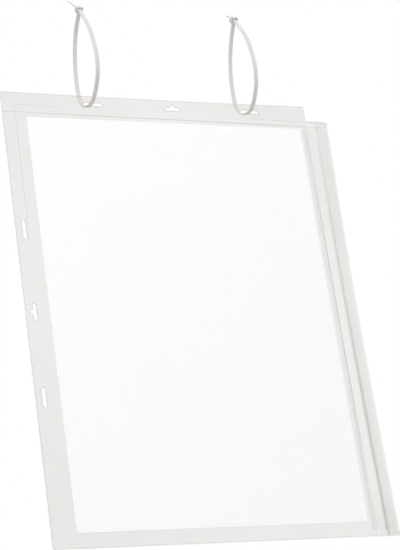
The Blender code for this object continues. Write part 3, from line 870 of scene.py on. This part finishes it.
def build_paper():
    """The sheet of paper, which lies a little wavy between the films."""
    left, low, right, high = SHEET[0].x, SHEET[0].z, SHEET[1].x, SHEET[1].z
    item = add_upright_grid("paper_sheet", left, low, right, high, SHEET[0].y, 5 * MM)
    add_materials(item, OFFICE_PAPER)
    apply_modifier(item, "SOLIDIFY", thickness=SHEET[1].y - SHEET[0].y, offset=-1)
    shift_vertices(item, lambda co: Vector((0, ripple(co) / 2, -0.5 * MM)))
    return finish_piece(item, "sheet", "paper", "insert_sheet")


# ---------------------------------------------------------------- the cable ties

HEAD_SLANT = math.radians(50)
HEAD_WIDTH, HEAD_DEPTH = 5.4 * MM, 3.6 * MM
ROOT_SPAN = 2.8 * MM
NOSE_SPAN = 2.25 * MM
TAIL_TIP = 9 * MM
TAIL_TAPER = 2 * MM
# each tie: its place across the pocket, the middle of its head's window behind and above the seat in the
# slot, how far its loop stands out in front and behind, and the tail beyond the window with its droop
TIES = (
    {"name": "cable_tie_left", "x": -61.8 * MM, "head": (-1.2 * MM, 75.2 * MM), "front": 22.2 * MM,
     "back": 21.9 * MM, "tail": 26 * MM, "droop": math.radians(6)},
    {"name": "cable_tie_right", "x": 60.7 * MM, "head": (1.4 * MM, 76.8 * MM), "front": 20.1 * MM,
     "back": 22.0 * MM, "tail": 15 * MM, "droop": math.radians(9)},
)
# the strap's route as shares of how far the loop stands out and of the height of the head's window
FRONT_SHARES = ((0.38, 0.035), (0.71, 0.115), (0.92, 0.21), (1.0, 0.36), (0.90, 0.53), (0.66, 0.72))
BACK_SHARES = ((0.44, 0.035), (0.78, 0.115), (0.96, 0.21), (1.0, 0.36), (0.94, 0.53), (0.77, 0.69), (0.48, 0.84))


def smooth_route(points, step):
    """A smooth curve through given points, about one step apart; the end points only steer it."""
    route = []
    for before, start, end, after in zip(points, points[1:], points[2:], points[3:]):
        count = max(2, round((end - start).length / step))
        for k in range(count):
            t = k / count
            bend = 2 * before - 5 * start + 4 * end - after
            twist = 3 * start - before - 3 * end + after
            route.append(start + ((end - before) * t + bend * t ** 2 + twist * t ** 3) / 2)
    route.append(points[-2])
    return route


def strap_route(tie):
    """The strap's middle line behind and above its seat: root, down behind, up in front, window, tail."""
    window = Vector(tie["head"])
    outwards = Vector((math.cos(HEAD_SLANT), math.sin(HEAD_SLANT)))
    inwards = Vector((-outwards.y, outwards.x))
    root = window - inwards * ROOT_SPAN - outwards * (HEAD_DEPTH - 1 * MM) / 2
    points = [root + inwards * step * MM for step in (2, 1, -1)]
    points += [Vector((y * tie["back"], z * window.y)) for y, z in reversed(BACK_SHARES)]
    points.append(Vector((0, 0)))
    points += [Vector((-y * tie["front"], z * window.y)) for y, z in FRONT_SHARES]
    reach = HEAD_DEPTH / 2 + 1 * MM
    points += [window - outwards * reach, window + outwards * reach]
    heading = HEAD_SLANT
    for _ in range(3):
        heading -= tie["droop"]
        points.append(points[-1] + Vector((math.cos(heading), math.sin(heading))) * (tie["tail"] - reach) / 2)
    return smooth_route(points, 0.7 * MM)


def stand_up(item, tie, lift):
    """Turn a tie's flat part into the upright plane of its loop, at its place across the pocket."""
    item.matrix_world = Matrix.Translation((tie["x"], 0, SEAT_Z)) @ Matrix(
        ((0, 0, 1, 0), (1, 0, 0, 0), (0, 1, 0, 0), (0, 0, 0, 1))) @ lift
    activate(item)
    bpy.ops.object.transform_apply(location=True, rotation=True, scale=True)


def build_strap(tie):
    """The toothed strap: a straight bar with pockets between its teeth, bent along its route."""
    route = strap_route(tie)
    length = sum((b - a).length for a, b in zip(route, route[1:]))
    half, half_width = settings().tie.thickness / 2, settings().tie.width / 2
    item = add_block(tie["name"] + "_strap", (0, -half, -half_width), (length, half, half_width))
    track = 0.72 * MM
    tip = length - TAIL_TIP
    first, last = 14 * MM, tip - TAIL_TAPER
    teeth = settings().tie.teeth
    with editing(item):
        pick(item, "EDGE", lambda co, part: abs(co.y) > half * 0.99 and abs(co.z) > half_width * 0.99)
        bpy.ops.mesh.bevel(offset=0.25 * MM, segments=3, affect="EDGES")
        cut([(0, 0, -track), (0, 0, track)], (0, 0, 1))
        cut([(first * step / 12, 0, 0) for step in range(1, 12)], (1, 0, 0))
        cut([(first + (last - first) * step / teeth, 0, 0) for step in range(teeth + 1)], (1, 0, 0))
        cut([(tip + TAIL_TIP * step / 6, 0, 0) for step in range(6)], (1, 0, 0))
        pick(item, "FACE", lambda co, part: part.normal.y > 0.9 and abs(co.z) < track and first < co.x < last)
        bpy.ops.mesh.inset(thickness=0.13 * MM, depth=-0.06 * MM, use_individual=True)
        pick(item, "VERT", lambda co, _: co.x > tip - 1e-6)
        bpy.ops.transform.resize(value=(1, 0.9, 0.7), center_override=(tip, 0, 0))
        pick(item, "FACE", lambda co, _: co.x > length - 1e-6)
        bpy.ops.transform.resize(value=(1, 0.7, 0.5), center_override=(length, 0, 0))
    data = bpy.data.curves.new("strap_route", "CURVE")
    data.dimensions = "2D"
    spline = data.splines.new("POLY")
    spline.points.add(len(route) - 1)
    for point, place in zip(spline.points, route):
        point.co = (place.x, place.y, 0, 1)
    guide = bpy.data.objects.new("strap_route", data)
    bpy.context.scene.collection.objects.link(guide)
    apply_modifier(item, "CURVE", object=guide, deform_axis="POS_X")
    bpy.data.objects.remove(guide, do_unlink=True)
    stand_up(item, tie, Matrix.Identity(4))
    return item


def build_head(tie):
    """The head: a rounded block with a window, and the pawl that holds the strap."""
    half = HEAD_WIDTH / 2
    block = add_block(tie["name"] + "_head", (-HEAD_DEPTH / 2, -ROOT_SPAN, -half), (HEAD_DEPTH / 2, NOSE_SPAN, half))
    with editing(block):
        pick(block, "EDGE", lambda co, part: abs(co.y) > 2 * MM and abs(co.z) > half - 1e-6)
        bpy.ops.mesh.bevel(offset=0.9 * MM, segments=4, affect="EDGES")
        pick(block, "EDGE", lambda co, part: abs(co.x) > HEAD_DEPTH / 2 - 1e-6)
        bpy.ops.mesh.bevel(offset=0.35 * MM, segments=3, affect="EDGES")
    window = add_block("window", (-3 * MM, -0.8 * MM, -1.55 * MM), (3 * MM, 1.15 * MM, 1.55 * MM))
    carve(block, window)
    pawl = add_block("pawl", (-1.7 * MM, 0.58 * MM, -1.35 * MM), (1.2 * MM, 1.6 * MM, 1.35 * MM))
    with editing(pawl):
        pick(pawl, "EDGE", lambda co, part: co.y < 0.6 * MM and co.x > 1.1 * MM)
        move((0, 0.4 * MM, 0))
    carve(block, pawl, "UNION")
    turn = Matrix.Translation((*tie["head"], 0)) @ Matrix.Rotation(HEAD_SLANT, 4, "Z")
    stand_up(block, tie, turn)
    return block


def build_tie(tie):
    """One cable tie: strap and head are one moulding."""
    item, head = build_strap(tie), build_head(tie)
    for part in (item, head):
        part.data.materials.clear()
        add_materials(part, NATURAL_NYLON)
    carve(item, head, "UNION")
    item.name = item.data.name = tie["name"] + "_moulding"
    return finish_piece(item, "ties", "nylon", tie["name"], angle=30)


# ---------------------------------------------------------------- the stage

CAMERA_PLACE = (-0.550733, -1.194988, -0.699320)
CAMERA_TURN = (0.543954, 0.814840, -0.116437, -0.163069)
CAMERA_LENS = 133.03
FLOOR_Z = -1.7
FLOOR_FADE = (0.6, 2.6)    # how far out the floor begins to melt into the white room, and where it is gone


def add_lamp(name, place, target, power, size):
    """A soft square lamp that the camera doesn't see."""
    deselect()
    bpy.ops.object.light_add(type="AREA", location=place)
    lamp = bpy.context.object
    lamp.name = lamp.data.name = name
    lamp.data.energy = power
    lamp.data.size = size
    lamp.rotation_euler = (Vector(target) - Vector(place)).to_track_quat("-Z", "Y").to_euler()
    lamp.visible_camera = False
    return lamp


def seen_directly(tree):
    """1 for what is seen straight, in a reflection or through something, and 0 for light."""
    path = node(tree, "ShaderNodeLightPath").outputs
    return maths(tree, "MAXIMUM", maths(tree, "MAXIMUM", path["Is Camera Ray"], path["Is Glossy Ray"]),
                 path["Is Transmission Ray"])


def light_world(ambient):
    """A white room: it lights softly, and shows as plain white."""
    world = bpy.data.worlds.new("white_room")
    bpy.context.scene.world = world
    world.use_nodes = True
    tree = world.node_tree
    tree.nodes.clear()
    light = node(tree, "ShaderNodeBackground", {"Color": (1, 1, 1, 1), "Strength": ambient}).outputs[0]
    shown = node(tree, "ShaderNodeBackground", {"Color": (1, 1, 1, 1), "Strength": 1}).outputs[0]
    node(tree, "ShaderNodeOutputWorld", links={"Surface": mixed(tree, seen_directly(tree), light, shown)})


def floor_material(name):
    """A painted studio floor, matt and pale, with a faint unevenness; far off it melts into the white room."""
    made, tree, place = new_material(name)
    tone = clouded(tree, noise(tree, place, 3, 3), settings().stage.floor_colour, 0.98)
    body = node(tree, "ShaderNodeBsdfPrincipled", {"Roughness": 0.9}, {"Base Color": tone}).outputs[0]
    white = node(tree, "ShaderNodeEmission", {"Color": (1, 1, 1, 1), "Strength": 1}).outputs[0]
    share = maths(tree, "MULTIPLY", seen_directly(tree),
                  ramp(tree, distance_to(tree, place, (0, 0, FLOOR_Z)), *FLOOR_FADE, 0, 1))
    node(tree, "ShaderNodeOutputMaterial", links={"Surface": mixed(tree, share, body, white)})
    return made


class POCKET_OT_stage(bpy.types.Operator):
    """Add the floor, the lamps, the white room and the camera"""

    bl_idname = "document_pocket.add_stage"
    bl_label = "Add stage"

    def execute(self, context):
        stage = settings().stage
        deselect()
        bpy.ops.mesh.primitive_plane_add(size=7, location=(0, 0, FLOOR_Z))
        floor = name_piece("floor")
        floor.data.materials.append(shared("painted_studio_floor", floor_material))
        middle = (0, 0, -0.2)
        add_lamp("key_lamp", (-1.4, -2.4, 2.1), middle, stage.key_power, 2)
        add_lamp("back_lamp", (1.8, 1.9, 2.2), middle, stage.key_power * 0.9, 2)
        light_world(stage.ambient)
        bpy.ops.object.camera_add(location=CAMERA_PLACE)
        camera = bpy.context.object
        camera.rotation_mode = "QUATERNION"
        camera.rotation_quaternion = CAMERA_TURN
        camera.data.lens = CAMERA_LENS
        camera.data.sensor_width = 36
        camera.data.clip_start, camera.data.clip_end = 0.1, 50
        context.scene.camera = camera
        context.scene.view_settings.view_transform = "Standard"
        return {"FINISHED"}


class POCKET_OT_films(bpy.types.Operator):
    """Add the back film, the front film and the web that it hinges on"""

    bl_idname = "document_pocket.add_films"
    bl_label = "Add films"

    def execute(self, context):
        build_back_film()
        build_front_film()
        build_film_web()
        return {"FINISHED"}


class POCKET_OT_zip(bpy.types.Operator):
    """Add both strips of the press-to-close zip"""

    bl_idname = "document_pocket.add_zip"
    bl_label = "Add zip"

    def execute(self, context):
        build_zip_strip_back()
        build_zip_strip_front()
        return {"FINISHED"}


class POCKET_OT_paper(bpy.types.Operator):
    """Add the sheet of paper"""

    bl_idname = "document_pocket.add_paper"
    bl_label = "Add paper"

    def execute(self, context):
        build_paper()
        return {"FINISHED"}


class POCKET_OT_ties(bpy.types.Operator):
    """Add the two cable ties"""

    bl_idname = "document_pocket.add_ties"
    bl_label = "Add cable ties"

    def execute(self, context):
        for tie in TIES:
            build_tie(tie)
        return {"FINISHED"}


class POCKET_PT_panel(bpy.types.Panel):
    """Lists the pocket's pieces"""

    bl_idname = "POCKET_PT_panel"
    bl_label = "Document Pocket"
    bl_space_type = "VIEW_3D"
    bl_region_type = "UI"
    bl_category = "Document Pocket"

    def draw(self, context):
        for operator in OPERATORS:
            self.layout.operator(operator.bl_idname)
        for group in (settings().film, settings().zip, settings().paper, settings().tie, settings().stage):
            box = self.layout.box()
            for name in group.__annotations__:
                box.prop(group, name)


OPERATORS = (POCKET_OT_stage, POCKET_OT_films, POCKET_OT_zip, POCKET_OT_paper, POCKET_OT_ties)
CLASSES = (FilmSettings, ZipSettings, PaperSettings, TieSettings, StageSettings, PocketSettings,
           *OPERATORS, POCKET_PT_panel)


def register():
    for made in CLASSES:
        bpy.utils.register_class(made)
    bpy.types.Scene.document_pocket = PointerProperty(type=PocketSettings)


def unregister():
    del bpy.types.Scene.document_pocket
    for made in reversed(CLASSES):
        bpy.utils.unregister_class(made)


def main():
    register()
    bpy.ops.document_pocket.add_stage()
    bpy.ops.document_pocket.add_films()
    bpy.ops.document_pocket.add_zip()
    bpy.ops.document_pocket.add_paper()
    bpy.ops.document_pocket.add_ties()


if __name__ == "__main__":
    main()
